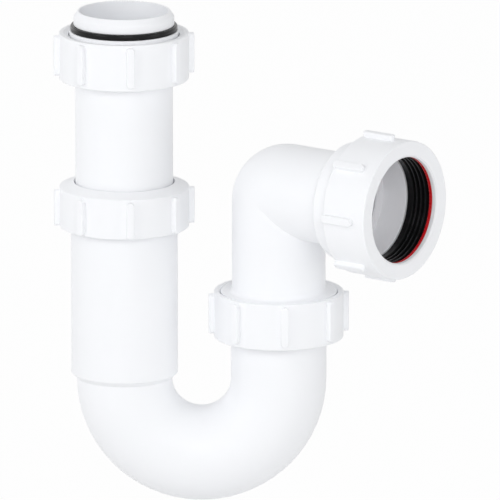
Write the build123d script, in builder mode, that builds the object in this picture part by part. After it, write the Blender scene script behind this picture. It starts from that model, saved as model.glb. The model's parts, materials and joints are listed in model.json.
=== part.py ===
from build123d import *

import os
from math import cos, radians, sin

# A swivel P-trap with a telescopic inlet, moulded in polypropylene, in millimetres.
# The origin is on the inlet's axis, at the plane where a waste's tail seats on the inlet washer.
# +Z is up, and +X runs from the inlet limb to the outlet limb.

# Where the trap's pieces stand
LIMB_SPACING = 63.3          # inlet axis to outlet limb axis
BEND_DROP = 148.7            # washer seat down to the centre of the bend
LIMB_RISE = 25.6             # centre of the bend up to the swivel joint's washer seat
ELBOW_RISE = 42.7            # elbow's shoulder up to the outlet's axis
OUTLET_REACH = 64.2          # outlet limb axis to the outlet nut's front face
OUTLET_SWING = -37.0         # degrees of the outlet about the outlet limb, from +X
KNUCKLE_R = 5.0              # centre line of the elbow's corner

# Tubes
TUBE_R = 20.0                # inlet tube, outside
TUBE_WALL = 1.8
TUBE_LENGTH = 95.0           # washer seat down to the inlet tube's lower end
TUBE_LEAD = 0.9              # chamfer on the inlet tube's lower end
BEND_STEP = 0.4              # bend's outside under the inlet tube's
BEND_WALL = 2.0
ELBOW_STEP = 0.8             # elbow's outside under the inlet tube's
ELBOW_WALL = 2.0
SHOULDER_ROUND = 1.5         # fillet where the elbow leaves its threaded boss

# Telescopic socket
SLIDE_GAP = 0.25             # inlet tube to the socket's bore
SOCKET_WALL = 1.62
SOCKET_LENGTH = 77.7         # lower end up to the mouth
SOCKET_FOOT = 0.8            # socket's lower end above the centre of the bend
SOCKET_CHAMFER = 2.0
WELD_DEPTH = 10.0            # bend's limb inside the socket
WELD_GAP = 0.05
LEDGE = 1.6                  # stop between the bend's limb and the sliding tube
THREAD_LEAD = 0.6

# Spigot heads that carry a washer, on the inlet tube and on the bend's outlet limb
SPIGOT_STEP = 0.6            # spigot over the inlet tube's outside
SPIGOT_HEIGHT = 3.3          # straight wall above the washer seat
SPIGOT_TAPER = 2.4           # tapered lead above the straight wall
RIM_LAND = 0.7               # flat rim round the bore
GROOVE_DEPTH = 0.4
FLANGE_STEP = 1.75           # flange over the spigot
FLANGE_THICKNESS = 3.0
WASHER_THICKNESS = 2.3
WASHER_INSET = 0.45          # washer's edge inside the flange's edge
WASHER_PLAY = 0.1            # washer under the end of its groove
WASHER_FIT = 0.05

# Threads are plain cylinders at the crests
THREAD_STEP = 1.55           # coupling thread over the flange that passes through it
THREAD_GAP = 0.3
BOSS_LENGTH = 11.1           # elbow's threaded boss
TELESCOPE_THREAD = 11.9      # threaded length on the socket
OUTLET_THREAD = 14.4         # threaded length on the elbow's outlet
THREAD_COVER = 0.3           # nut past the end of a thread's run-out

# Nuts
NUT_WALL = 2.4
NUT_LIP = 2.5
LIP_GAP = 0.3                # coupling nut's lip round a tube
FACE_GAP = 0.1               # between flat faces that turn on each other
NUT_REVEAL = 0.1             # swivel nut's rim above the elbow's shoulder
INLET_NUT_DROP = 22.6        # washer seat down to the inlet nut's lip
NUT_EDGE = 0.7               # chamfer at the lip's outer edge
NUT_MOUTH_CHAMFER = 0.5
TELESCOPE_HOLE_GAP = 0.5     # telescope nut's hole round the inlet tube
TELESCOPE_CONE = 2.1         # fall of the telescope nut's sloping face
OUTLET_HOLE_STEP = 0.95      # outlet nut's hole over the pipe socket
RIB_COUNT = 8
RIB_WIDTH = 3.4
RIB_HEIGHT = 2.25
RIB_CHAMFER = 0.9
RIB_SINK = 1.0               # rib's root inside the nut's wall
COUPLING_RIB_MARGINS = (1.7, 0.8)      # lip end, open end
TELESCOPE_RIB_MARGINS = (3.0, 0.5)
OUTLET_RIB_MARGINS = (5.2, 0.4)
INLET_RIB_TURN = 6.0         # degrees of the first rib about each nut's axis
TELESCOPE_RIB_TURN = -5.5
SWIVEL_RIB_TURN = 5.0
OUTLET_RIB_TURN = -1.0

# Pipe socket at the outlet
PIPE_R = 21.75
PIPE_DEPTH = 12.0            # pipe stop to the seal
STOP_WALL = 2.0
COLLAR_WALL = 2.65
COLLAR_ROOT = 2.0
COLLAR_ROUND = 1.4
FILLET_SHARE = 0.4           # most of the collar's step that one fillet takes
SEAL_HOUSING = 1.75          # wall round the outlet seal, under the thread

# Seals and slip rings
OUTLET_SEAL_DEPTH = 2.3      # from the pipe socket's wall outwards
OUTLET_SEAL_LENGTH = 11.3
OUTLET_SEAL_GAP = 0.25       # fins outside the pipe socket's wall until the nut squeezes them in
TELESCOPE_SEAL_DEPTH = 2.0   # from the inlet tube's wall outwards
TELESCOPE_SEAL_LENGTH = 6.0
TELESCOPE_SEAL_GAP = 0.15
SEAL_FIT = 0.05              # seal in its housing
SEAL_PROUD = 0.5             # seal past its housing's end
SEAL_LAND = 2.8              # smooth band at a seal's seated end
FIN_WIDTH = 0.7
FIN_DEPTH = 0.8
FIN_FLANK = 0.45
FIN_PITCH = 2.2
SLIP_RING_THICKNESS = 1.4
SLIP_RING_STEP = 0.45        # ring's hole over the tube or pipe that passes it
SLIP_RING_INSET = 0.5        # ring's edge inside the thread's crest

# Radii that follow from those sizes
tube_bore = TUBE_R - TUBE_WALL
bend_r = TUBE_R - BEND_STEP
bend_bore = bend_r - BEND_WALL
elbow_r = TUBE_R - ELBOW_STEP
elbow_bore = elbow_r - ELBOW_WALL
socket_bore = TUBE_R + SLIDE_GAP
socket_r = socket_bore + SOCKET_WALL
spigot_r = TUBE_R + SPIGOT_STEP
groove_r = spigot_r - GROOVE_DEPTH
flange_r = spigot_r + FLANGE_STEP
thread_r = flange_r + THREAD_STEP
collar_r = PIPE_R + COLLAR_WALL
collar_fillet_limit = FILLET_SHARE * (collar_r - elbow_r)
outlet_seal_r = PIPE_R + OUTLET_SEAL_DEPTH
outlet_thread_r = outlet_seal_r + SEAL_FIT + SEAL_HOUSING
telescope_seal_r = TUBE_R + TELESCOPE_SEAL_DEPTH

# Heights that follow from them, up the outlet limb and then up the socket
bend_z = -BEND_DROP
swivel_z = bend_z + LIMB_RISE
boss_z = swivel_z + FACE_GAP
corner_height = BOSS_LENGTH + ELBOW_RISE - KNUCKLE_R
outlet_z = boss_z + BOSS_LENGTH + ELBOW_RISE
flange_top = -WASHER_PLAY - WASHER_THICKNESS
flange_foot = flange_top - FLANGE_THICKNESS
socket_z = bend_z + SOCKET_FOOT
mouth_height = SOCKET_LENGTH
ledge_foot = WELD_DEPTH
ledge_top = ledge_foot + LEDGE
telescope_seat_height = mouth_height + SEAL_PROUD - TELESCOPE_SEAL_LENGTH
telescope_stack = NUT_LIP + FACE_GAP + SLIP_RING_THICKNESS + SEAL_PROUD
telescope_lip_z = socket_z + mouth_height + telescope_stack
telescope_runout = thread_r - socket_r
coupling_nut_length = NUT_LIP + FACE_GAP - flange_foot + FACE_GAP + BOSS_LENGTH + NUT_REVEAL
telescope_nut_length = telescope_stack + TELESCOPE_THREAD + telescope_runout + THREAD_COVER

# Distances from the outlet limb's axis along the outlet
lip_face = OUTLET_REACH - NUT_LIP
ring_front = lip_face - FACE_GAP
seal_front = ring_front - SLIP_RING_THICKNESS
outlet_end = seal_front - SEAL_PROUD
seal_seat = seal_front - OUTLET_SEAL_LENGTH
pipe_stop = seal_seat - PIPE_DEPTH
collar_start = pipe_stop - STOP_WALL
outlet_runout = outlet_thread_r - collar_r
thread_start = outlet_end - OUTLET_THREAD
outlet_nut_length = OUTLET_REACH - thread_start + outlet_runout + THREAD_COVER

# Planes on which the pieces stand, each with its axis along z
outlet_way = Vector(cos(radians(OUTLET_SWING)), sin(radians(OUTLET_SWING)), 0)
outlet_root = Vector(LIMB_SPACING, 0, outlet_z)
inlet_seat = Plane.XY
swivel_seat = Plane(origin=(LIMB_SPACING, 0, swivel_z))
boss_seat = Plane(origin=(LIMB_SPACING, 0, boss_z))
socket_seat = Plane.XY.offset(socket_z)
outlet_line = Plane(origin=outlet_root, x_dir=(0, 0, 1), z_dir=outlet_way)
corner_seat = Plane(origin=(LIMB_SPACING, 0, boss_z + corner_height), x_dir=outlet_way, z_dir=(0, 0, 1))

os.makedirs("parts", exist_ok=True)


def half_plane(seat):
    """The plane through a seat's axis, where x is the radius and y the height above the seat."""
    return Plane(origin=seat.origin, x_dir=seat.x_dir, z_dir=-seat.y_dir)


def axis_of(seat):
    return Axis(seat.origin, seat.z_dir)


def head_outline(tube_r, bore_r):
    """The outside of a spigot head above its tube, from the flange's foot up to the bore's rim."""
    return [
        (tube_r, flange_foot),
        (flange_r, flange_foot),
        (flange_r, flange_top),
        (groove_r, flange_top),
        (groove_r, 0),
        (spigot_r, 0),
        (spigot_r, SPIGOT_HEIGHT),
        (bore_r + RIM_LAND, SPIGOT_HEIGHT + SPIGOT_TAPER),
        (bore_r, SPIGOT_HEIGHT + SPIGOT_TAPER),
    ]


def make_ring(name, seat, inner_r, outer_r, thickness):
    """A flat ring that stands on its seat."""
    with BuildPart() as ring:
        with BuildSketch(seat):
            Circle(outer_r)
            Circle(inner_r, mode=Mode.SUBTRACT)
        extrude(amount=thickness)
    ring.part.label = name
    export_step(ring.part, f"parts/{name}.step")


def make_seal(name, seat, inner_r, outer_r, length):
    """A rubber seal with a smooth band at its seated end, then a row of inner fins."""
    root_r = inner_r + FIN_DEPTH
    fin_room = length - FIN_FLANK - SEAL_LAND - FIN_FLANK
    fin_count = int(fin_room / FIN_PITCH)
    inside = [(root_r, 0), (inner_r, FIN_FLANK), (inner_r, FIN_FLANK + SEAL_LAND)]
    inside.append((root_r, FIN_FLANK + SEAL_LAND + FIN_FLANK))
    for index in range(fin_count):
        fin_end = 2 * FIN_FLANK + SEAL_LAND + (index + 1) * FIN_PITCH - FIN_FLANK
        inside.append((root_r, fin_end - FIN_WIDTH - FIN_FLANK))
        inside.append((inner_r, fin_end - FIN_WIDTH))
        inside.append((inner_r, fin_end))
        inside.append((root_r, fin_end + FIN_FLANK))
    with BuildPart() as seal:
        with BuildSketch(half_plane(seat)):
            with BuildLine():
                Polyline((outer_r, length), (outer_r, 0), *inside, (root_r, length), close=True)
            make_face()
        revolve(axis=axis_of(seat))
    seal.part.label = name
    export_step(seal.part, f"parts/{name}.step")


def make_nut(name, seat, hole_r, thread_crest, length, rib_margins, rib_turn, cone=0):
    """A ribbed nut that stands on its lip's face and opens along its axis."""
    bore_r = thread_crest + THREAD_GAP
    body_r = bore_r + NUT_WALL
    lip_rib_margin, open_rib_margin = rib_margins
    rib_length = length - lip_rib_margin - open_rib_margin
    rib_middle = lip_rib_margin + rib_length / 2
    rib_planes = []
    for index in range(RIB_COUNT):
        turn = radians(rib_turn + index * 360 / RIB_COUNT)
        outwards = seat.x_dir * cos(turn) + seat.y_dir * sin(turn)
        foot = seat.origin + seat.z_dir * rib_middle + outwards * (body_r - RIB_SINK)
        rib_planes.append(Plane(origin=foot, x_dir=seat.z_dir, z_dir=outwards))
    with BuildPart() as nut:
        with BuildSketch(half_plane(seat)) as section:
            with BuildLine():
                Polyline(
                    (hole_r, 0),
                    (body_r, cone),
                    (body_r, length),
                    (bore_r + NUT_MOUTH_CHAMFER, length),
                    (bore_r, length - NUT_MOUTH_CHAMFER),
                    (bore_r, NUT_LIP),
                    (hole_r, NUT_LIP),
                    close=True,
                )
            make_face()
            lip_edge = section.vertices().sort_by_distance((body_r, cone))[0]
            chamfer(lip_edge, NUT_EDGE)
        revolve(axis=axis_of(seat))
        with BuildSketch(*rib_planes):
            SlotOverall(rib_length, RIB_WIDTH)
        extrude(amount=RIB_SINK + RIB_HEIGHT)
        rib_top_r = body_r + RIB_HEIGHT - RIB_CHAMFER
        rib_tops = nut.faces().filter_by(
            lambda face: (face.center() - seat.origin).cross(seat.z_dir).length > rib_top_r
        )
        chamfer(rib_tops.edges(), RIB_CHAMFER)
    nut.part.label = name
    export_step(nut.part, f"parts/{name}.step")


# Inlet tube: a straight tube with a spigot head at its top
with BuildPart() as inlet_tube:
    with BuildSketch(half_plane(inlet_seat)):
        with BuildLine():
            Polyline(
                (tube_bore, -TUBE_LENGTH),
                (TUBE_R - TUBE_LEAD, -TUBE_LENGTH),
                (TUBE_R, -TUBE_LENGTH + TUBE_LEAD),
                *head_outline(TUBE_R, tube_bore),
                close=True,
            )
        make_face()
    revolve(axis=Axis.Z)
inlet_tube.part.label = "inlet_tube"
export_step(inlet_tube.part, "parts/inlet_tube.step")

# Telescopic socket: a threaded mouth with a seal housing, the sliding bore, a stop and the welded foot
with BuildPart() as telescope_socket:
    seal_housing = telescope_seal_r + SEAL_FIT
    with BuildSketch(half_plane(socket_seat)):
        with BuildLine():
            Polyline(
                (bend_r + WELD_GAP, 0),
                (socket_r - SOCKET_CHAMFER, 0),
                (socket_r, SOCKET_CHAMFER),
                (socket_r, mouth_height - TELESCOPE_THREAD - telescope_runout),
                (thread_r, mouth_height - TELESCOPE_THREAD),
                (thread_r, mouth_height - THREAD_LEAD),
                (thread_r - THREAD_LEAD, mouth_height),
                (seal_housing, mouth_height),
                (seal_housing, telescope_seat_height),
                (socket_bore, telescope_seat_height),
                (socket_bore, ledge_top),
                (bend_bore, ledge_top),
                (bend_bore, ledge_foot),
                (bend_r + WELD_GAP, ledge_foot),
                close=True,
            )
        make_face()
    revolve(axis=Axis.Z)
telescope_socket.part.label = "telescope_socket"
export_step(telescope_socket.part, "parts/telescope_socket.step")

# Bend: a tube swept down the welded limb and round the half circle, with a spigot head on its outlet limb
with BuildPart() as u_bend:
    with BuildLine(Plane.XZ):
        welded_limb = Line((0, socket_z + ledge_foot), (0, bend_z))
        TangentArc(welded_limb @ 1, (LIMB_SPACING, bend_z), tangent=welded_limb % 1)
    with BuildSketch(Plane.XY.offset(socket_z + ledge_foot)):
        Circle(bend_r)
        Circle(bend_bore, mode=Mode.SUBTRACT)
    sweep()
    with BuildSketch(half_plane(swivel_seat)):
        with BuildLine():
            Polyline(
                (bend_bore, -LIMB_RISE),
                (bend_r, -LIMB_RISE),
                *head_outline(bend_r, bend_bore),
                close=True,
            )
        make_face()
    revolve(axis=axis_of(swivel_seat))
u_bend.part.label = "u_bend"
export_step(u_bend.part, "parts/u_bend.step")

# Elbow: an upright arm with a threaded boss, a level arm with the pipe socket, and a knuckle between them.
# The knuckle's outside is round, and its inside is the crease where the two arms meet.
with BuildPart() as outlet_elbow:
    corner_axis = Axis(corner_seat.origin + corner_seat.x_dir * KNUCKLE_R, corner_seat.y_dir)

    with BuildSketch(half_plane(boss_seat)) as upright_arm:
        with BuildLine():
            Polyline(
                (0, 0),
                (thread_r, 0),
                (thread_r, BOSS_LENGTH),
                (elbow_r, BOSS_LENGTH),
                (elbow_r, corner_height),
                (0, corner_height),
                close=True,
            )
        make_face()
        shoulder = upright_arm.vertices().sort_by_distance((elbow_r, BOSS_LENGTH))[0]
        fillet(shoulder, SHOULDER_ROUND)
    revolve(axis=axis_of(boss_seat))

    with BuildSketch(half_plane(outlet_line)) as level_arm:
        with BuildLine():
            Polyline(
                (0, KNUCKLE_R),
                (elbow_r, KNUCKLE_R),
                (elbow_r, collar_start),
                (collar_r, collar_start),
                (collar_r, thread_start - outlet_runout),
                (outlet_thread_r, thread_start),
                (outlet_thread_r, outlet_end - THREAD_LEAD),
                (outlet_thread_r - THREAD_LEAD, outlet_end),
                (0, outlet_end),
                close=True,
            )
        make_face()
        collar_root = level_arm.vertices().sort_by_distance((elbow_r, collar_start))[0]
        fillet(collar_root, min(COLLAR_ROOT, collar_fillet_limit))
        collar_edge = level_arm.vertices().sort_by_distance((collar_r, collar_start))[0]
        fillet(collar_edge, min(COLLAR_ROUND, collar_fillet_limit))
    revolve(axis=axis_of(outlet_line))

    with BuildSketch(corner_seat):
        Circle(elbow_r)
        with Locations((KNUCKLE_R + elbow_r, 0)):
            Rectangle(2 * elbow_r, 2 * elbow_r, mode=Mode.SUBTRACT)
    revolve(axis=corner_axis, revolution_arc=90)

    with BuildSketch(half_plane(boss_seat)):
        spigot_room = spigot_r + THREAD_GAP
        spigot_depth = SPIGOT_HEIGHT + SPIGOT_TAPER + THREAD_GAP
        with BuildLine():
            Polyline(
                (0, 0),
                (spigot_room, 0),
                (spigot_room, spigot_depth),
                (elbow_bore, spigot_depth),
                (elbow_bore, corner_height),
                (0, corner_height),
                close=True,
            )
        make_face()
    revolve(axis=axis_of(boss_seat), mode=Mode.SUBTRACT)

    with BuildSketch(half_plane(outlet_line)):
        seal_housing = outlet_seal_r + SEAL_FIT
        with BuildLine():
            Polyline(
                (0, KNUCKLE_R),
                (elbow_bore, KNUCKLE_R),
                (elbow_bore, pipe_stop),
                (PIPE_R, pipe_stop),
                (PIPE_R, seal_seat),
                (seal_housing, seal_seat),
                (seal_housing, outlet_end),
                (0, outlet_end),
                close=True,
            )
        make_face()
    revolve(axis=axis_of(outlet_line), mode=Mode.SUBTRACT)

    with BuildSketch(corner_seat):
        Circle(elbow_bore)
        with Locations((KNUCKLE_R + elbow_bore, 0)):
            Rectangle(2 * elbow_bore, 2 * elbow_bore, mode=Mode.SUBTRACT)
    revolve(axis=corner_axis, revolution_arc=90, mode=Mode.SUBTRACT)
outlet_elbow.part.label = "outlet_elbow"
export_step(outlet_elbow.part, "parts/outlet_elbow.step")

# Washers on the flanges, under the end of each spigot's groove
washer_outer_r = flange_r - WASHER_INSET
for name, seat in (("inlet_washer", inlet_seat), ("swivel_washer", swivel_seat)):
    make_ring(
        name,
        seat.offset(flange_top),
        groove_r + WASHER_FIT,
        washer_outer_r,
        WASHER_THICKNESS,
    )

# Seals in their housings, and the slip rings that press on them
telescope_seal_seat = socket_seat.offset(telescope_seat_height)
outlet_seal_seat = outlet_line.offset(seal_seat)
make_seal(
    "telescope_seal",
    telescope_seal_seat,
    TUBE_R + TELESCOPE_SEAL_GAP,
    telescope_seal_r,
    TELESCOPE_SEAL_LENGTH,
)
make_seal(
    "outlet_seal",
    outlet_seal_seat,
    PIPE_R + OUTLET_SEAL_GAP,
    outlet_seal_r,
    OUTLET_SEAL_LENGTH,
)
make_ring(
    "telescope_slip_ring",
    telescope_seal_seat.offset(TELESCOPE_SEAL_LENGTH),
    TUBE_R + SLIP_RING_STEP,
    thread_r - SLIP_RING_INSET,
    SLIP_RING_THICKNESS,
)
make_ring(
    "outlet_slip_ring",
    outlet_seal_seat.offset(OUTLET_SEAL_LENGTH),
    PIPE_R + SLIP_RING_STEP,
    outlet_thread_r - SLIP_RING_INSET,
    SLIP_RING_THICKNESS,
)

# Nuts: two alike that couple a flange to a thread, and two that press a slip ring
coupling_hole = TUBE_R + LIP_GAP
swivel_lip_height = flange_foot - FACE_GAP - NUT_LIP
make_nut(
    "inlet_nut",
    inlet_seat.offset(-INLET_NUT_DROP),
    coupling_hole,
    thread_r,
    coupling_nut_length,
    COUPLING_RIB_MARGINS,
    INLET_RIB_TURN,
)
make_nut(
    "swivel_nut",
    swivel_seat.offset(swivel_lip_height),
    coupling_hole,
    thread_r,
    coupling_nut_length,
    COUPLING_RIB_MARGINS,
    SWIVEL_RIB_TURN,
)
make_nut(
    "telescope_nut",
    Plane(origin=(0, 0, telescope_lip_z), x_dir=(1, 0, 0), z_dir=(0, 0, -1)),
    TUBE_R + TELESCOPE_HOLE_GAP,
    thread_r,
    telescope_nut_length,
    TELESCOPE_RIB_MARGINS,
    TELESCOPE_RIB_TURN,
    TELESCOPE_CONE,
)
make_nut(
    "outlet_nut",
    Plane(origin=outlet_root + outlet_way * OUTLET_REACH, x_dir=(0, 0, 1), z_dir=-outlet_way),
    PIPE_R + OUTLET_HOLE_STEP,
    outlet_thread_r,
    outlet_nut_length,
    OUTLET_RIB_MARGINS,
    OUTLET_RIB_TURN,
)
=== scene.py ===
# %% [markdown]
# A trap under a basin holds a bend full of water, so that no smell comes up through the waste. This lesson
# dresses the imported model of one. The frame gives the solids, the bodies that they ride on and the joints,
# and Blender adds rounded edges, finishes and light. The frame comes first, because every piece is measured
# from it.

import json
from math import acos, cos, pi, radians, sin, tan

import bmesh
import bpy
from mathutils import Matrix, Vector


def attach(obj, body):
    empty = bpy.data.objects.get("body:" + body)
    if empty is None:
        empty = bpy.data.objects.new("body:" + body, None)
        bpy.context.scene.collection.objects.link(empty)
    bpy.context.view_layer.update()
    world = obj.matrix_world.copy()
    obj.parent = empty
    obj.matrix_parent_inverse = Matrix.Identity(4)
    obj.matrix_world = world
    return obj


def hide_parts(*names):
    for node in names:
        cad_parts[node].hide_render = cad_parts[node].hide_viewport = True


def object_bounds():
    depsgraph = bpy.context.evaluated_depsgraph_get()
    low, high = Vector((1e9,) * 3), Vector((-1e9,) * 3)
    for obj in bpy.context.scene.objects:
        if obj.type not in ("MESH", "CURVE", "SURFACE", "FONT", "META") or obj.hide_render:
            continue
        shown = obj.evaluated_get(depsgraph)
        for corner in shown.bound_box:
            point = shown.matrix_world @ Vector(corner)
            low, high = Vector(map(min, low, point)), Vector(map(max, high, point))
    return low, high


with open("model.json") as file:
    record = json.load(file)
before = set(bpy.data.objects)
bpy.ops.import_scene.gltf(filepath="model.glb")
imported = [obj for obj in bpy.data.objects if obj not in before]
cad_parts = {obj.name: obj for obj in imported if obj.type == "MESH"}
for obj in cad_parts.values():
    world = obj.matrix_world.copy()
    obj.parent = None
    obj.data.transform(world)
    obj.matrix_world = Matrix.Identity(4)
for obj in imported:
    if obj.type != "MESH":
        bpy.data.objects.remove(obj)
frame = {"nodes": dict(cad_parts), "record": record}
cad_low, cad_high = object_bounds()
record = frame["record"]
joints = {joint["name"]: joint for joint in record["behaviour"]["joints"]}
mounts = {mount["name"]: mount for mount in record["mounts"]}
MM = 0.001
print("nodes in the frame:", len(frame["nodes"]))

# %% [markdown]
# A waste trap is a handful of turned and swept shapes, so almost everything here is measured along an axis.
# Two helpers read the frame: how far a piece reaches along a line, and the matrix that stands a piece on a
# seat. With them, each new piece is drawn once as if it stood upright at the origin, and then it is put
# where the frame has the solid that it stands for.


# %% Measure along the axes of the trap
def span(node, origin, way):
    """How far a node reaches along a line, as the lowest and the highest distance from its origin."""
    distances = [(vertex.co - origin).dot(way) for vertex in frame["nodes"][node].data.vertices]
    return min(distances), max(distances)


def seat(origin, way, across):
    """The matrix that stands an upright piece on origin, with its axis along way and its x along across."""
    side = way.cross(across)
    turned_axes = Matrix((across, side, way)).transposed().to_4x4()
    return Matrix.Translation(origin) @ turned_axes


UP = Vector((0, 0, 1))
RIGHT = Vector((1, 0, 0))
INLET = Vector((0, 0, 0))
outlet_way = Vector(mounts["outlet_socket"]["axis"]).normalized()
outlet_middle = Vector(mounts["outlet_socket"]["pos_m"])
limb = Vector(joints["outlet_swivel"]["pos_m"])
print("limbs apart:", round(limb.x / MM, 1), "mm")

# %% [markdown]
# All the pieces share one surface: plastic or rubber that took a fine grain from a polished mould. The
# grain could be painted into each material, but the white, the red and the rubber differ only in how strong
# it is. So it is one node group with two outputs, a fine grain and a broad cloud, and each material mixes
# them into its own colour, gloss and bump.

# %% A grain that every moulding shares
NOISE_DETAIL = {"Grain": 3.0, "Cloud": 2.0}


def moulded_skin():
    """A node group that puts out a fine grain and a broad cloud, both from 0 to 1."""
    group = bpy.data.node_groups.new("moulded_skin", "ShaderNodeTree")
    group.interface.new_socket("Vector", in_out="INPUT", socket_type="NodeSocketVector")
    group.interface.new_socket("Grain Scale", in_out="INPUT", socket_type="NodeSocketFloat")
    group.interface.new_socket("Cloud Scale", in_out="INPUT", socket_type="NodeSocketFloat")
    group.interface.new_socket("Grain", in_out="OUTPUT", socket_type="NodeSocketFloat")
    group.interface.new_socket("Cloud", in_out="OUTPUT", socket_type="NodeSocketFloat")
    inside = group.nodes.new("NodeGroupInput")
    outside = group.nodes.new("NodeGroupOutput")
    for name, detail in NOISE_DETAIL.items():
        noise = group.nodes.new("ShaderNodeTexNoise")
        noise.inputs["Detail"].default_value = detail
        group.links.new(inside.outputs["Vector"], noise.inputs["Vector"])
        group.links.new(inside.outputs[name + " Scale"], noise.inputs["Scale"])
        group.links.new(noise.outputs["Fac"], outside.inputs[name])
    return group


skin = moulded_skin()
print("shared grain:", [item.name for item in skin.interface.items_tree])

# %% [markdown]
# Each finish is the same short recipe with its own numbers. The cloud moves the colour between two close
# tones, as a moulding's wall does where it is thicker or cooled more slowly. The grain moves the gloss a
# little and lifts a bump of a few hundredths of a millimetre, which is what breaks up a highlight.

# %% The three finishes of the trap
CLOUD_SCALE = 28.0
BUMP_STRENGTH = 0.35


def moulded_finish(name, tones, roughness, specular, grain_scale, grain_height):
    """A material with two close tones and a grain in its gloss and its bump."""
    material = bpy.data.materials.new(name)
    material.use_nodes = True
    nodes, links = material.node_tree.nodes, material.node_tree.links
    surface = nodes["Principled BSDF"]
    surface.inputs["Specular IOR Level"].default_value = specular
    place = nodes.new("ShaderNodeTexCoord")
    grain = nodes.new("ShaderNodeGroup")
    grain.node_tree = skin
    grain.inputs["Grain Scale"].default_value = grain_scale
    grain.inputs["Cloud Scale"].default_value = CLOUD_SCALE
    links.new(place.outputs["Object"], grain.inputs["Vector"])
    tone = nodes.new("ShaderNodeMix")
    tone.data_type = "RGBA"
    tone.inputs["A"].default_value = (*tones[0], 1)
    tone.inputs["B"].default_value = (*tones[1], 1)
    links.new(grain.outputs["Cloud"], tone.inputs["Factor"])
    links.new(tone.outputs["Result"], surface.inputs["Base Color"])
    shine = nodes.new("ShaderNodeMapRange")
    shine.inputs["To Min"].default_value, shine.inputs["To Max"].default_value = roughness
    links.new(grain.outputs["Grain"], shine.inputs["Value"])
    links.new(shine.outputs["Result"], surface.inputs["Roughness"])
    bump = nodes.new("ShaderNodeBump")
    bump.inputs["Strength"].default_value = BUMP_STRENGTH
    bump.inputs["Distance"].default_value = grain_height
    links.new(grain.outputs["Grain"], bump.inputs["Height"])
    links.new(bump.outputs["Normal"], surface.inputs["Normal"])
    return material


WHITE_TONES = ((0.93, 0.938, 0.957), (0.952, 0.959, 0.975))
RUBBER_TONES = ((0.003, 0.003, 0.0035), (0.006, 0.006, 0.0065))
RED_TONES = ((0.56, 0.004, 0.008), (0.66, 0.006, 0.012))
PLASTIC_GRAIN = {"grain_scale": 1500.0, "grain_height": 0.02 * MM}
RUBBER_GRAIN = {"grain_scale": 2600.0, "grain_height": 0.015 * MM}
finishes = {
    "white_plastic": moulded_finish(
        "white_plastic_satin", WHITE_TONES, roughness=(0.38, 0.50), specular=0.3, **PLASTIC_GRAIN
    ),
    "black_rubber": moulded_finish(
        "black_rubber_smooth", RUBBER_TONES, roughness=(0.16, 0.28), specular=0.2, **RUBBER_GRAIN
    ),
    "red_plastic": moulded_finish(
        "red_plastic_gloss", RED_TONES, roughness=(0.22, 0.34), specular=0.25, **PLASTIC_GRAIN
    ),
}
slots = {piece["node"]: piece["material_slot"] for piece in record["subparts"]}
for node, solid in frame["nodes"].items():
    solid.data.materials.clear()
    solid.data.materials.append(finishes[slots[node]])
print("finishes:", sorted(finishes))

# %% [markdown]
# The inlet tube, its washer, the nuts, the pipe seal and its slip ring are turned shapes. Blender's Spin or
# a Screw modifier could turn an outline, but a moulding has no sharp edge, and the edges are what catches
# the light on white plastic. So each outline is a list of corners with a fillet each, the fillets become
# arcs, and a close pair of points beside each arc keeps the flat faces flat when they are shaded smooth.

# %% Round the corners of an outline
FILLET_STEPS = 5
SUPPORT = 0.12 * MM
LEG_SHARE = 0.45


def fillet_points(before, corner, after, radius):
    """The points of the arc that rounds one corner, with a support point beside each end."""
    to_before = (before - corner).normalized()
    to_after = (after - corner).normalized()
    half_angle = acos(max(-1.0, min(1.0, to_before.dot(to_after)))) / 2
    shortest_leg = min((before - corner).length, (after - corner).length)
    tangent = min(radius / tan(half_angle), LEG_SHARE * shortest_leg)
    radius = tangent * tan(half_angle)
    middle = corner + (to_before + to_after).normalized() * (radius / sin(half_angle))
    start = corner + to_before * tangent - middle
    end = corner + to_after * tangent - middle
    sweep = pi - 2 * half_angle
    points = [corner + to_before * (tangent + SUPPORT)]
    for step in range(FILLET_STEPS + 1):
        share = step / FILLET_STEPS
        blend = start * sin((1 - share) * sweep) + end * sin(share * sweep)
        points.append(middle + blend / sin(sweep))
    points.append(corner + to_after * (tangent + SUPPORT))
    return points


def rounded_outline(corners):
    """The closed outline through (radius, height, fillet) corners in millimetres, as points in metres."""
    places = [Vector((radius, height)) * MM for radius, height, fillet in corners]
    fillets = [fillet * MM for radius, height, fillet in corners]
    outline = []
    for index, place in enumerate(places):
        after = places[(index + 1) % len(places)]
        outline += fillet_points(places[index - 1], place, after, fillets[index])
    return outline


print("points on a rounded corner:", FILLET_STEPS + 1)

# %% [markdown]
# To turn the outline, each of its points becomes a ring round z, and each pair of rings becomes a band of
# faces. The outline is closed, so the last ring joins the first, and there is no seam or pole left to
# close.

# %% Turn an outline about z
TURN_STEPS = 144


def turned_mesh(name, corners):
    """A closed mesh turned about z from an outline of corners."""
    outline = rounded_outline(corners)
    mesh = bmesh.new()
    rings = []
    for point in outline:
        ring = []
        for step in range(TURN_STEPS):
            angle = 2 * pi * step / TURN_STEPS
            ring.append(mesh.verts.new((point.x * cos(angle), point.x * sin(angle), point.y)))
        rings.append(ring)
    for index, ring in enumerate(rings):
        above = rings[(index + 1) % len(rings)]
        for step in range(TURN_STEPS):
            beside = (step + 1) % TURN_STEPS
            mesh.faces.new((ring[step], ring[beside], above[beside], above[step]))
    bmesh.ops.recalc_face_normals(mesh, faces=mesh.faces)
    made = bpy.data.meshes.new(name)
    mesh.to_mesh(made)
    mesh.free()
    made.shade_smooth()
    return made


print("points in one turn:", TURN_STEPS)

# %% [markdown]
# Every new piece needs the same few things: its place in its mesh, one finish, a body to ride on, and the
# slot that the finish belongs to. One helper does them all, so that no piece is left hanging when a joint
# moves.


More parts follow.
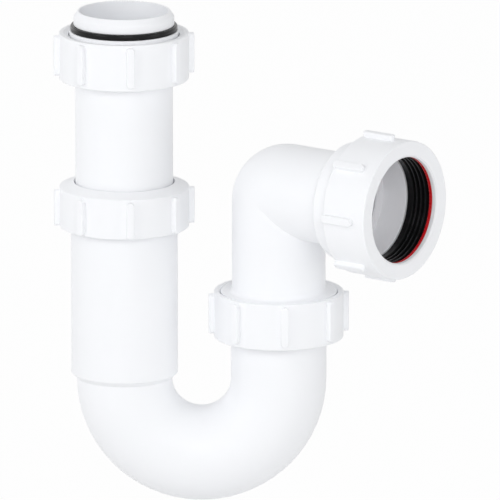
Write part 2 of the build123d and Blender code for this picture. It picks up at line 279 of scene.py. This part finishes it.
# %% Give a piece its place, its finish and its body
def add_piece(name, mesh, place, body, finish):
    """An object at the origin with its place in its mesh, that rides on a body and has one finish."""
    mesh.transform(place)
    mesh.materials.clear()
    mesh.materials.append(finishes[finish])
    piece = bpy.data.objects.new(name, mesh)
    bpy.context.scene.collection.objects.link(piece)
    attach(piece, body)
    return piece


# %% [markdown]
# The inlet tube is the piece that everyone sees first, because its spigot looks up out of the nut. The head
# has a tapered lead for the waste's tail, a straight wall, a groove for the washer and a flange that the
# nut pulls up. Its lower end slides in the socket, so only its heights come from the frame.

# %% Inlet tube
TUBE_R = 20.0
TUBE_BORE = 18.2
FLANGE_R = 22.35
FLANGE_THICKNESS = 3.0
GROOVE_R = 20.2
RIM_LAND = 0.7
SPIGOT_R = mounts["inlet_spigot"]["dims"]["r_mm"]
SPIGOT_WALL = mounts["inlet_spigot"]["dims"]["length_mm"]
TUBE_FOOT_ROUND = 0.8
TUBE_BORE_ROUND = 0.3
FLANGE_FOOT_ROUND = 0.4
FLANGE_EDGE_ROUND = 0.3
GROOVE_ROUND = 0.1
SPIGOT_FOOT_ROUND = 0.15
SPIGOT_LEAD_ROUND = 0.5
RIM_ROUND = 0.25
RIM_BORE_ROUND = 0.2
tube_foot, tube_top = (height / MM for height in span("inlet_tube", INLET, UP))
washer_foot, washer_top = (height / MM for height in span("inlet_washer", INLET, UP))
flange_foot = washer_foot - FLANGE_THICKNESS
tube_corners = [
    (TUBE_BORE, tube_foot, TUBE_BORE_ROUND),
    (TUBE_R, tube_foot, TUBE_FOOT_ROUND),
    (TUBE_R, flange_foot, FLANGE_FOOT_ROUND),
    (FLANGE_R, flange_foot, FLANGE_FOOT_ROUND),
    (FLANGE_R, washer_foot, FLANGE_EDGE_ROUND),
    (GROOVE_R, washer_foot, GROOVE_ROUND),
    (GROOVE_R, 0.0, GROOVE_ROUND),
    (SPIGOT_R, 0.0, SPIGOT_FOOT_ROUND),
    (SPIGOT_R, SPIGOT_WALL, SPIGOT_LEAD_ROUND),
    (TUBE_BORE + RIM_LAND, tube_top, RIM_ROUND),
    (TUBE_BORE, tube_top, RIM_BORE_ROUND),
]
tube_mesh = turned_mesh("inlet_tube", tube_corners)
inlet_tube = add_piece("inlet_tube_turned", tube_mesh, Matrix(), "inlet", "white_plastic")
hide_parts("inlet_tube")
print("inlet tube:", round(tube_top - tube_foot, 1), "mm long")

# %% [markdown]
# The washer under the spigot's wall is soft, so its outer corners are rounder than most plastic ones. The
# thin shine along its upper edge is what makes it read as rubber from a step away.

# %% Inlet washer
WASHER_HOLE = 20.25
WASHER_R = 21.9
WASHER_HOLE_ROUND = 0.2
WASHER_FOOT_ROUND = 0.5
WASHER_TOP_ROUND = 0.7
washer_corners = [
    (WASHER_HOLE, washer_foot, WASHER_HOLE_ROUND),
    (WASHER_R, washer_foot, WASHER_FOOT_ROUND),
    (WASHER_R, washer_top, WASHER_TOP_ROUND),
    (WASHER_HOLE, washer_top, WASHER_HOLE_ROUND),
]
washer_mesh = turned_mesh("inlet_washer", washer_corners)
inlet_washer = add_piece("inlet_washer_soft", washer_mesh, Matrix(), "inlet", "black_rubber")
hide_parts("inlet_washer")
print("inlet washer:", round(washer_top - washer_foot, 2), "mm thick")

# %% [markdown]
# The grip ribs on the nuts are rounded bars with half-round ends, and a small fillet at the foot where the
# bar grows out of the wall. Eight of them stand on each nut. One rib is drawn flat, as if the nut's wall
# were unrolled: x is the height above the wall, y runs round the nut and z runs along it.

# %% One rib, drawn flat
RIB_WIDTH = 3.15
RIB_HEIGHT = 2.25
RIB_ROUND = 0.45
RIB_FOOT = 0.05
RIB_SINK = 0.3
RIB_CROWN = 0.25
RIB_END_STEPS = 10
RIB_ROUND_STEPS = 6


def rib_levels():
    """The half width and the height of the loops from the rib's sunk foot to its crown."""
    levels = [(RIB_WIDTH / 2 + RIB_FOOT, -RIB_SINK)]
    for step in range(RIB_ROUND_STEPS + 1):
        angle = pi / 2 * step / RIB_ROUND_STEPS
        levels.append((RIB_WIDTH / 2 + RIB_FOOT * (1 - sin(angle)), RIB_FOOT * (1 - cos(angle))))
    for step in range(RIB_ROUND_STEPS + 1):
        angle = pi / 2 * step / RIB_ROUND_STEPS
        half_width = RIB_WIDTH / 2 - RIB_ROUND * (1 - cos(angle))
        levels.append((half_width, RIB_HEIGHT - RIB_ROUND * (1 - sin(angle))))
    levels.append((RIB_CROWN, RIB_HEIGHT))
    return levels


def flat_rib(name, foot, head):
    """An object with a closed rib between two heights, in millimetres, on an unrolled nut wall."""
    straight = (head - foot - RIB_WIDTH) / 2
    middle = (head + foot) / 2
    mesh = bmesh.new()
    loops = []
    for half_width, height in rib_levels():
        loop = []
        for end in (1, -1):
            for step in range(RIB_END_STEPS + 1):
                angle = pi * step / RIB_END_STEPS
                across = end * half_width * cos(angle)
                along = middle + end * (straight + half_width * sin(angle))
                loop.append(mesh.verts.new(Vector((height, across, along)) * MM))
        loops.append(loop)
    for lower, upper in zip(loops, loops[1:]):
        for index in range(len(lower)):
            beside = (index + 1) % len(lower)
            mesh.faces.new((lower[index], lower[beside], upper[beside], upper[index]))
    mesh.faces.new(loops[0])
    mesh.faces.new(loops[-1])
    bmesh.ops.recalc_face_normals(mesh, faces=mesh.faces)
    made = bpy.data.meshes.new(name)
    mesh.to_mesh(made)
    mesh.free()
    made.shade_smooth()
    return bpy.data.objects.new(name, made)


print("loops in a rib:", len(rib_levels()))

# %% [markdown]
# What repeats round a nut or follows a path is work for Geometry Nodes, and here that is the ribs and a
# thread. A tree could be drawn by hand in the editor, but a script can be read and run again. A few helpers
# keep it short: they open a tree with named inputs, end it in real geometry with one finish, and turn what
# it grows into a plain mesh.


# %% Helpers for node trees
def link_all(tree, pairs):
    """Link each output to its input."""
    for source, target in pairs:
        tree.links.new(source, target)


def math_node(tree, operation, first=None, second=None):
    """A Math node whose inputs are linked to sockets or set to numbers."""
    node = tree.nodes.new("ShaderNodeMath")
    node.operation = operation
    for socket, value in zip(node.inputs, (first, second)):
        if isinstance(value, (int, float)):
            socket.default_value = value
        elif value is not None:
            tree.links.new(value, socket)
    return node.outputs[0]


def open_tree(name, inputs, output):
    """A new Geometry Nodes tree, the sockets of its named inputs, and the socket of its one output."""
    tree = bpy.data.node_groups.new(name, "GeometryNodeTree")
    for socket, kind in inputs.items():
        tree.interface.new_socket(socket, in_out="INPUT", socket_type=kind)
    tree.interface.new_socket(output, in_out="OUTPUT", socket_type="NodeSocketGeometry")
    asked = tree.nodes.new("NodeGroupInput").outputs
    result = tree.nodes.new("NodeGroupOutput").inputs[output]
    return tree, asked, result


def close_tree(tree, grown, finish, result):
    """End a tree in Realize Instances and Set Material, because the export drops instances."""
    realize = tree.nodes.new("GeometryNodeRealizeInstances")
    coat = tree.nodes.new("GeometryNodeSetMaterial")
    link_all(
        tree,
        [
            (grown, realize.inputs[0]),
            (realize.outputs[0], coat.inputs["Geometry"]),
            (finish, coat.inputs["Material"]),
            (coat.outputs[0], result),
        ],
    )


def grown_mesh(name, base, tree, values):
    """The plain mesh that a tree grows from a base mesh with the given input values."""
    grower = bpy.data.objects.new(name, base)
    bpy.context.scene.collection.objects.link(grower)
    modifier = grower.modifiers.new(name, "NODES")
    modifier.node_group = tree
    for item in tree.interface.items_tree:
        if item.in_out == "INPUT" and item.name in values:
            modifier[item.identifier] = values[item.name]
    evaluated = grower.evaluated_get(bpy.context.evaluated_depsgraph_get())
    made = bpy.data.meshes.new_from_object(evaluated)
    grower.modifiers.remove(modifier)
    bpy.data.objects.remove(grower)
    return made


print("node groups so far:", [group.name for group in bpy.data.node_groups])

# %% [markdown]
# The ribs repeat round the nut and follow its wall. The tree bends the flat rib round the wall, sets copies
# of it evenly round the axis, and joins them to the turned body. Bending in the tree keeps the rib's foot
# on the wall for a nut of any radius.


# %% A tree that bends ribs round a nut
def ribbed_nut_tree():
    """A tree that bends a flat rib round a wall and stands copies of it round a nut's body."""
    inputs = {
        "Body": "NodeSocketGeometry",
        "Flat Rib": "NodeSocketObject",
        "Wall Radius": "NodeSocketFloat",
        "Rib Count": "NodeSocketInt",
        "First Turn": "NodeSocketFloat",
        "Finish": "NodeSocketMaterial",
    }
    tree, asked, result = open_tree("ribbed_nut", inputs, "Nut")

    rib = tree.nodes.new("GeometryNodeObjectInfo")
    place = tree.nodes.new("GeometryNodeInputPosition")
    flat = tree.nodes.new("ShaderNodeSeparateXYZ")
    bent = tree.nodes.new("ShaderNodeCombineXYZ")
    bend = tree.nodes.new("GeometryNodeSetPosition")
    radius = math_node(tree, "ADD", asked["Wall Radius"], flat.outputs["X"])
    angle = math_node(tree, "DIVIDE", flat.outputs["Y"], asked["Wall Radius"])
    link_all(
        tree,
        [
            (asked["Flat Rib"], rib.inputs["Object"]),
            (place.outputs[0], flat.inputs[0]),
            (math_node(tree, "MULTIPLY", radius, math_node(tree, "COSINE", angle)), bent.inputs["X"]),
            (math_node(tree, "MULTIPLY", radius, math_node(tree, "SINE", angle)), bent.inputs["Y"]),
            (flat.outputs["Z"], bent.inputs["Z"]),
            (rib.outputs["Geometry"], bend.inputs["Geometry"]),
            (bent.outputs[0], bend.inputs["Position"]),
        ],
    )

    copies = tree.nodes.new("GeometryNodePoints")
    index = tree.nodes.new("GeometryNodeInputIndex")
    turn = tree.nodes.new("ShaderNodeCombineXYZ")
    stand = tree.nodes.new("GeometryNodeInstanceOnPoints")
    join = tree.nodes.new("GeometryNodeJoinGeometry")
    step = math_node(tree, "DIVIDE", 2 * pi, asked["Rib Count"])
    turned = math_node(tree, "ADD", asked["First Turn"], math_node(tree, "MULTIPLY", index.outputs[0], step))
    link_all(
        tree,
        [
            (asked["Rib Count"], copies.inputs["Count"]),
            (turned, turn.inputs["Z"]),
            (copies.outputs[0], stand.inputs["Points"]),
            (bend.outputs[0], stand.inputs["Instance"]),
            (turn.outputs[0], stand.inputs["Rotation"]),
            (stand.outputs[0], join.inputs[0]),
            (asked["Body"], join.inputs[0]),
        ],
    )
    close_tree(tree, join.outputs[0], asked["Finish"], result)
    return tree


ribbed_nut = ribbed_nut_tree()
print("tree:", ribbed_nut.name, len(ribbed_nut.nodes), "nodes")

# %% [markdown]
# All the nuts share one outline: a lip with a hole, a wall, and a mouth. Four separate outlines would only
# repeat it, so one function draws it from a nut's own sizes. The mouth of a nut that is done up is filled
# by the other thread and gets a plain chamfer. An open mouth gets the sloping first crest of its own
# thread.

# %% One nut on the seat of its lip
RIB_COUNT = 8
NUT_LIP = 2.5
NUT_WALL = 2.4
NUT_MOUTH = 0.5
NUT_LEAD = 0.25
NUT_LEAD_ROUND = 0.25
NUT_FACE_ROUND = 0.6
NUT_RIM_ROUND = 0.55
NUT_MOUTH_ROUND = 0.25
NUT_SHOULDER_ROUND = 0.3
NUT_HOLE_ROUND = 0.35
FIRST_CREST = 22.75
CREST_DROP = 0.9
CREST_LAND = 0.4
CREST_ROUND = 0.15
CREST_FOOT_ROUND = 0.2
THREAD_MOUTH = 2.6


def nut_mouth(bore, length, open_thread):
    """The corners of a nut's mouth, from its rim inwards."""
    rim = (bore + NUT_MOUTH, length, NUT_MOUTH_ROUND)
    if not open_thread:
        return [rim, (bore, length - NUT_MOUTH, NUT_MOUTH_ROUND)]
    return [
        rim,
        (FIRST_CREST, length - CREST_DROP, CREST_ROUND),
        (FIRST_CREST, length - CREST_DROP - CREST_LAND, CREST_ROUND),
        (bore, length - THREAD_MOUTH, CREST_FOOT_ROUND),
    ]


def add_nut(
    node, place, length, hole, bore, rib_margins, first_turn,
    cone=0.0, lead=NUT_LEAD, lead_round=NUT_LEAD_ROUND, open_thread=False,
):
    """A ribbed nut on the seat of its lip, in place of its solid, in millimetres and degrees."""
    wall = bore + NUT_WALL
    corners = [
        (hole, lead, lead_round),
        (hole + lead, 0.0, lead_round),
        (wall, cone, NUT_FACE_ROUND),
        (wall, length, NUT_RIM_ROUND),
        *nut_mouth(bore, length, open_thread),
        (bore, NUT_LIP, NUT_SHOULDER_ROUND),
        (hole, NUT_LIP, NUT_HOLE_ROUND),
    ]
    lip_margin, mouth_margin = rib_margins
    rib = flat_rib(node + "_rib", lip_margin, length - mouth_margin)
    values = {
        "Flat Rib": rib,
        "Wall Radius": wall * MM,
        "Rib Count": RIB_COUNT,
        "First Turn": radians(first_turn),
        "Finish": finishes["white_plastic"],
    }
    mesh = grown_mesh(node + "_ribbed", turned_mesh(node + "_body", corners), ribbed_nut, values)
    bpy.data.objects.remove(rib)
    nut = add_piece(node + "_ribbed", mesh, place, node, "white_plastic")
    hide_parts(node)
    print(node, len(nut.data.polygons), "faces")


print("ribs on each nut:", RIB_COUNT)

# %% [markdown]
# Four nuts hold the trap together. Two alike couple a flange to a thread, one clamps the sliding tube and
# has a sloping face, and the largest closes the outlet, with a small lead round its hole for the pipe. Each
# stands on its lip's face in the frame, and its ribs start at the same turn as on the solid.

# %% The four nuts
COUPLING_HOLE = 20.3
COUPLING_BORE = 24.2
COUPLING_RIB_MARGINS = (1.7, 0.8)
TELESCOPE_HOLE = 20.5
TELESCOPE_RIB_MARGINS = (3.0, 0.5)
OUTLET_HOLE = 21.9
OUTLET_BORE = 26.15
OUTLET_RIB_MARGINS = (5.2, 0.4)
inlet_lip, inlet_mouth = span("inlet_nut", INLET, UP)
swivel_lip = span("swivel_nut", INLET, UP)[0]
telescope_mouth, telescope_lip = span("telescope_nut", INLET, UP)
outlet_mouth, outlet_lip = span("outlet_nut", outlet_middle, outlet_way)
coupling_length = (inlet_mouth - inlet_lip) / MM
telescope_length = (telescope_lip - telescope_mouth) / MM
outlet_length = (outlet_lip - outlet_mouth) / MM
inlet_seat = seat(UP * inlet_lip, UP, RIGHT)
swivel_seat = seat(Vector((limb.x, limb.y, swivel_lip)), UP, RIGHT)
telescope_seat = seat(UP * telescope_lip, -UP, RIGHT)
outlet_seat = seat(outlet_middle + outlet_way * outlet_lip, -outlet_way, UP)
add_nut(
    "inlet_nut", inlet_seat, coupling_length, COUPLING_HOLE, COUPLING_BORE, COUPLING_RIB_MARGINS,
    first_turn=6.0, open_thread=True,
)
add_nut(
    "swivel_nut", swivel_seat, coupling_length, COUPLING_HOLE, COUPLING_BORE, COUPLING_RIB_MARGINS,
    first_turn=5.0,
)
add_nut(
    "telescope_nut", telescope_seat, telescope_length, TELESCOPE_HOLE, COUPLING_BORE, TELESCOPE_RIB_MARGINS,
    first_turn=-5.5, cone=2.1,
)
add_nut(
    "outlet_nut", outlet_seat, outlet_length, OUTLET_HOLE, OUTLET_BORE, OUTLET_RIB_MARGINS,
    first_turn=-1.0, lead=0.7, lead_round=0.15,
)

# %% [markdown]
# The inlet nut is the one nut with an empty mouth. Its first crest is turned with the body, and is what
# shows round the flange. Below it the thread winds down the wall, so that the nut is right when it is taken
# off. A thread could be turned as a stack of rings, but then it would never lead anywhere. A helix is a
# path, so Geometry Nodes sweeps a ridge along a spiral, and lets the ridge fade out at both ends.

# %% A tree that sweeps a thread
THREAD_LEAN = -pi / 2


def thread_tree():
    """A tree that sweeps a ridge along a spiral, with its crest towards the axis."""
    inputs = {
        "Root Radius": "NodeSocketFloat",
        "Depth": "NodeSocketFloat",
        "Root Width": "NodeSocketFloat",
        "Crest Width": "NodeSocketFloat",
        "Pitch": "NodeSocketFloat",
        "Turns": "NodeSocketFloat",
        "Fade": "NodeSocketFloat",
        "Finish": "NodeSocketMaterial",
    }
    tree, asked, result = open_tree("nut_thread", inputs, "Thread")

    path = tree.nodes.new("GeometryNodeCurveSpiral")
    path.inputs["Resolution"].default_value = TURN_STEPS
    upright = tree.nodes.new("GeometryNodeSetCurveNormal")
    upright.mode = "Z_UP"
    section = tree.nodes.new("GeometryNodeCurvePrimitiveQuadrilateral")
    section.mode = "TRAPEZOID"
    section.inputs["Offset"].default_value = 0.0
    lean = tree.nodes.new("GeometryNodeTransform")
    lean.inputs["Rotation"].default_value = (0, 0, THREAD_LEAN)
    stand = tree.nodes.new("GeometryNodeSetPosition")
    shift = tree.nodes.new("ShaderNodeCombineXYZ")
    along = tree.nodes.new("GeometryNodeSplineParameter")
    sweep = tree.nodes.new("GeometryNodeCurveToMesh")
    sweep.inputs["Fill Caps"].default_value = True
    from_end = math_node(tree, "SUBTRACT", 1.0, along.outputs["Factor"])
    to_end = math_node(tree, "MINIMUM", along.outputs["Factor"], from_end)
    fade = math_node(tree, "MINIMUM", math_node(tree, "DIVIDE", to_end, asked["Fade"]), 1.0)
    link_all(
        tree,
        [
            (asked["Turns"], path.inputs["Rotations"]),
            (asked["Root Radius"], path.inputs["Start Radius"]),
            (asked["Root Radius"], path.inputs["End Radius"]),
            (math_node(tree, "MULTIPLY", asked["Pitch"], asked["Turns"]), path.inputs["Height"]),
            (asked["Root Width"], section.inputs["Bottom Width"]),
            (asked["Crest Width"], section.inputs["Top Width"]),
            (asked["Depth"], section.inputs["Height"]),
            (math_node(tree, "MULTIPLY", asked["Depth"], 0.5), shift.inputs["Y"]),
            (section.outputs[0], stand.inputs["Geometry"]),
            (shift.outputs[0], stand.inputs["Offset"]),
            (stand.outputs[0], lean.inputs["Geometry"]),
            (path.outputs[0], upright.inputs["Curve"]),
            (upright.outputs[0], sweep.inputs["Curve"]),
            (lean.outputs[0], sweep.inputs["Profile Curve"]),
            (fade, sweep.inputs["Scale"]),
        ],
    )
    close_tree(tree, sweep.outputs[0], asked["Finish"], result)
    return tree


nut_thread = thread_tree()
print("tree:", nut_thread.name, len(nut_thread.nodes), "nodes")

# %% [markdown]
# The thread has the pitch of a common pipe coupling, eleven turns to the inch. Its root is sunk a little
# way into the wall, so that no gap is left between the two, and it ends at the foot of the mouth's first
# crest.

# %% Thread of the inlet nut
THREAD_PITCH = 2.309
THREAD_TURNS = 4.5
THREAD_SINK = 0.1
THREAD_DEPTH = 1.7
THREAD_ROOT_WIDTH = 2.1
THREAD_CREST_WIDTH = 0.5
THREAD_FADE = 0.06
thread_values = {
    "Root Radius": (COUPLING_BORE + THREAD_SINK) * MM,
    "Depth": THREAD_DEPTH * MM,
    "Root Width": THREAD_ROOT_WIDTH * MM,
    "Crest Width": THREAD_CREST_WIDTH * MM,
    "Pitch": THREAD_PITCH * MM,
    "Turns": THREAD_TURNS,
    "Fade": THREAD_FADE,
    "Finish": finishes["white_plastic"],
}
thread_mesh = grown_mesh("inlet_thread", bpy.data.meshes.new("thread_base"), nut_thread, thread_values)
crest = min(vertex.co.xy.length for vertex in thread_mesh.vertices)
thread_start = inlet_mouth - (THREAD_MOUTH + THREAD_PITCH * THREAD_TURNS) * MM
thread_place = Matrix.Translation(UP * thread_start)
add_piece("inlet_nut_thread", thread_mesh, thread_place, "inlet_nut", "white_plastic")
print("thread crest at radius", round(crest / MM, 2), "mm,", len(thread_mesh.polygons), "faces")

# %% [markdown]
# The pipe seal is a rubber ring with a smooth land at its seated end and a row of fins towards the mouth.
# It is seen through the outlet, where each crest shows as a fine bright line. The fins could be a bump in
# the rubber, but a line of light needs a real edge, so they are corners of the turned outline.

# %% Outlet seal
SEAL_R = 24.05
SEAL_CREST = 22.0
SEAL_ROOT = 23.2
LAND = (0.45, 3.25)
FIN_PITCH = 2.2
FIN_CREST = 0.7
FIN_FLANK = 0.45
SEAL_HEAD_ROUND = 0.2
SEAL_FOOT_ROUND = 0.3
SEAL_END_ROUND = 0.1
LAND_ROUND = 0.35
FIN_ROUND = 0.15
VALLEY_ROUND = 0.2
seal_foot, seal_head = span("outlet_seal", outlet_middle, outlet_way)
seal_length = (seal_head - seal_foot) / MM
seal_corners = [
    (SEAL_R, seal_length, SEAL_HEAD_ROUND),
    (SEAL_R, 0.0, SEAL_FOOT_ROUND),
    (SEAL_ROOT, 0.0, SEAL_END_ROUND),
    (SEAL_CREST, LAND[0], LAND_ROUND),
    (SEAL_CREST, LAND[1], LAND_ROUND),
    (SEAL_ROOT, LAND[1] + FIN_FLANK, VALLEY_ROUND),
]
fin_room = seal_length - LAND[1] - FIN_FLANK
for fin in range(int(fin_room / FIN_PITCH)):
    fin_end = LAND[1] + (fin + 1) * FIN_PITCH
    seal_corners += [
        (SEAL_ROOT, fin_end - FIN_CREST - FIN_FLANK, VALLEY_ROUND),
        (SEAL_CREST, fin_end - FIN_CREST, FIN_ROUND),
        (SEAL_CREST, fin_end, FIN_ROUND),
        (SEAL_ROOT, fin_end + FIN_FLANK, VALLEY_ROUND),
    ]
seal_corners.append((SEAL_ROOT, seal_length, SEAL_END_ROUND))
seal_seat = seat(outlet_middle + outlet_way * seal_foot, outlet_way, UP)
seal_mesh = turned_mesh("outlet_seal", seal_corners)
outlet_seal = add_piece("outlet_seal_finned", seal_mesh, seal_seat, "elbow", "black_rubber")
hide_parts("outlet_seal")
print("outlet seal:", round(seal_length, 1), "mm long")

# %% [markdown]
# A slip ring of red plastic lies between the seal and the nut's lip, so that the turning nut doesn't drag
# the rubber. Only its inner edge shows, as a red line inside the lip, and that edge is rounded like the
# rest.

# %% Outlet slip ring
RING_HOLE = 21.95
RING_R = 25.35
RING_HOLE_ROUND = 0.35
RING_EDGE_ROUND = 0.3
ring_foot, ring_head = span("outlet_slip_ring", outlet_middle, outlet_way)
ring_thickness = (ring_head - ring_foot) / MM
ring_corners = [
    (RING_HOLE, 0.0, RING_HOLE_ROUND),
    (RING_R, 0.0, RING_EDGE_ROUND),
    (RING_R, ring_thickness, RING_EDGE_ROUND),
    (RING_HOLE, ring_thickness, RING_HOLE_ROUND),
]
ring_seat = seat(outlet_middle + outlet_way * ring_foot, outlet_way, UP)
ring_mesh = turned_mesh("outlet_slip_ring", ring_corners)
slip_ring = add_piece("outlet_slip_ring_red", ring_mesh, ring_seat, "elbow", "red_plastic")
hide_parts("outlet_slip_ring")
print("slip ring:", round(ring_thickness, 1), "mm thick")

# %% [markdown]
# The picture is a plain product shot, white plastic on white. In use the trap hangs from a basin's waste,
# so the pale floor lies a hand's length below it. Its colour alone would render grey, and more light would
# wash out the trap. So the floor glows white for the rays that see it, and stays a pale surface for the
# light. From below it is clear, so that a low view still shows the trap.

# %% Floor
FLOOR_DROP = 0.15
FLOOR_HALF = 8.0
FLOOR_COLOUR = (0.95, 0.95, 0.95, 1)
FLOOR_ROUGHNESS = 0.9
FLOOR_WHITE_SHARE = 0.965
WHITE = (1, 1, 1, 1)


def seen_rays(tree):
    """A socket that is 1 for camera, glossy and transmission rays."""
    path = tree.nodes.new("ShaderNodeLightPath")
    seen = math_node(tree, "MAXIMUM", path.outputs["Is Camera Ray"], path.outputs["Is Glossy Ray"])
    return math_node(tree, "MAXIMUM", seen, path.outputs["Is Transmission Ray"])


floor_mesh = bpy.data.meshes.new("floor")
floor_height = cad_low.z - FLOOR_DROP
floor_sides = [(-1, -1), (1, -1), (1, 1), (-1, 1)]
floor_corners = [(x * FLOOR_HALF, y * FLOOR_HALF, floor_height) for x, y in floor_sides]
floor_mesh.from_pydata(floor_corners, [], [(0, 1, 2, 3)])
floor = bpy.data.objects.new("floor", floor_mesh)
bpy.context.scene.collection.objects.link(floor)

pale = bpy.data.materials.new("pale_floor")
pale.use_nodes = True
pale_tree = pale.node_tree
pale_surface = pale_tree.nodes["Principled BSDF"]
pale_surface.inputs["Base Color"].default_value = FLOOR_COLOUR
pale_surface.inputs["Roughness"].default_value = FLOOR_ROUGHNESS
glow = pale_tree.nodes.new("ShaderNodeEmission")
glow.inputs["Color"].default_value = WHITE
whiten = pale_tree.nodes.new("ShaderNodeMixShader")
white_share = math_node(pale_tree, "MULTIPLY", seen_rays(pale_tree), FLOOR_WHITE_SHARE)
from_below = pale_tree.nodes.new("ShaderNodeNewGeometry")
clear = pale_tree.nodes.new("ShaderNodeBsdfTransparent")
one_sided = pale_tree.nodes.new("ShaderNodeMixShader")
link_all(
    pale_tree,
    [
        (white_share, whiten.inputs["Fac"]),
        (pale_surface.outputs[0], whiten.inputs[1]),
        (glow.outputs[0], whiten.inputs[2]),
        (from_below.outputs["Backfacing"], one_sided.inputs["Fac"]),
        (whiten.outputs[0], one_sided.inputs[1]),
        (clear.outputs[0], one_sided.inputs[2]),
        (one_sided.outputs[0], pale_tree.nodes["Material Output"].inputs["Surface"]),
    ],
)
floor_mesh.materials.append(pale)
print("floor at", round(floor_height / MM, 1), "mm")

# %% [markdown]
# The world works in the same way. It is white where it is seen, and for the light it is a plain dome that
# gets brighter towards the upper left front, as a large soft box in a studio does. More diffuse bounces
# than usual carry that light down the bores.

# %% World
DOME_COLOUR = (0.985, 0.99, 1.0, 1)
DOME_RANGE = (0.33, 0.77)
DOME_WAY = (-0.60, -0.60, 0.53)
FACING_AWAY = -1.0
LIGHT_BOUNCES = 16
DIFFUSE_BOUNCES = 12

world = bpy.data.worlds.new("studio")
bpy.context.scene.world = world
world.use_nodes = True
dome = world.node_tree.nodes["Background"]
dome.inputs["Color"].default_value = DOME_COLOUR
facing = world.node_tree.nodes.new("ShaderNodeVectorMath")
facing.operation = "DOT_PRODUCT"
facing.inputs[1].default_value = DOME_WAY
ray_way = world.node_tree.nodes.new("ShaderNodeTexCoord")
falloff = world.node_tree.nodes.new("ShaderNodeMapRange")
falloff.inputs["From Min"].default_value = FACING_AWAY
falloff.inputs["To Min"].default_value, falloff.inputs["To Max"].default_value = DOME_RANGE
backdrop = world.node_tree.nodes.new("ShaderNodeBackground")
backdrop.inputs["Color"].default_value = WHITE
sky = world.node_tree.nodes.new("ShaderNodeMixShader")
link_all(
    world.node_tree,
    [
        (ray_way.outputs["Generated"], facing.inputs[0]),
        (facing.outputs["Value"], falloff.inputs["Value"]),
        (falloff.outputs["Result"], dome.inputs["Strength"]),
        (seen_rays(world.node_tree), sky.inputs["Fac"]),
        (dome.outputs[0], sky.inputs[1]),
        (backdrop.outputs[0], sky.inputs[2]),
        (sky.outputs[0], world.node_tree.nodes["World Output"].inputs["Surface"]),
    ],
)
bpy.context.scene.view_settings.view_transform = "Standard"
bpy.context.scene.cycles.max_bounces = LIGHT_BOUNCES
bpy.context.scene.cycles.diffuse_bounces = DIFFUSE_BOUNCES
print("dome from", DOME_RANGE[0], "to", DOME_RANGE[1])

# %% [markdown]
# The dome alone leaves white plastic flat, so four soft lamps shape it. The key stands to the left, far
# enough round to the front that the inlet column doesn't shade the other limb. A lamp in front looks a
# little way into both open ends. Two more, on the right and at the back left, keep the far edges from going
# grey.

# %% Lamps
LAMP_TARGET = (cad_low + cad_high) / 2


def add_lamp(name, way, distance, size, power):
    """A square area lamp that stands off from the trap along a way and looks at it."""
    lamp = bpy.data.lights.new(name, "AREA")
    lamp.size = size
    lamp.energy = power
    holder = bpy.data.objects.new(name, lamp)
    holder.location = LAMP_TARGET + Vector(way).normalized() * distance
    holder.rotation_euler = (LAMP_TARGET - holder.location).to_track_quat("-Z", "Y").to_euler()
    bpy.context.scene.collection.objects.link(holder)


add_lamp("key_left", (-0.80, -0.57, 0.38), distance=1.6, size=0.6, power=3.8)
add_lamp("fill_front", (0.12, -1.0, 0.42), distance=2.0, size=0.7, power=7.2)
add_lamp("fill_right", (0.92, -0.36, 0.05), distance=2.0, size=0.8, power=3.9)
add_lamp("fill_back", (-0.70, 0.70, 0.1), distance=2.0, size=1.2, power=3.2)
print("lamps:", [thing.name for thing in bpy.data.lights])

# %% [markdown]
# The photograph shows no perspective: upright edges stay upright, and the far limb is drawn as large as the
# near one. An orthographic camera would do that too, but a very long lens from far off looks the same and
# can be moved round the trap as any other. The scale of the photograph and the lens together give its
# distance.

# %% Camera at the photograph's view
PHOTO_PIXELS = 500
PHOTO_SCALE = 0.41 * MM
PHOTO_ELEVATION = radians(13.4)
PHOTO_CENTRE = Vector((51.5, 0.0, -94.9)) * MM
LENS = 1000.0
SENSOR = 36.0
CLIP_END = 100.0

camera = bpy.data.cameras.new("camera")
camera.lens = LENS
camera.sensor_width = SENSOR
camera.clip_end = CLIP_END
viewer = bpy.data.objects.new("camera", camera)
camera_distance = PHOTO_PIXELS * PHOTO_SCALE * LENS / SENSOR
back = Vector((0, -cos(PHOTO_ELEVATION), sin(PHOTO_ELEVATION)))
viewer.location = PHOTO_CENTRE + back * camera_distance
viewer.rotation_euler = (-back).to_track_quat("-Z", "Y").to_euler()
bpy.context.scene.collection.objects.link(viewer)
bpy.context.scene.camera = viewer
print("camera distance:", round(camera_distance, 2), "m")
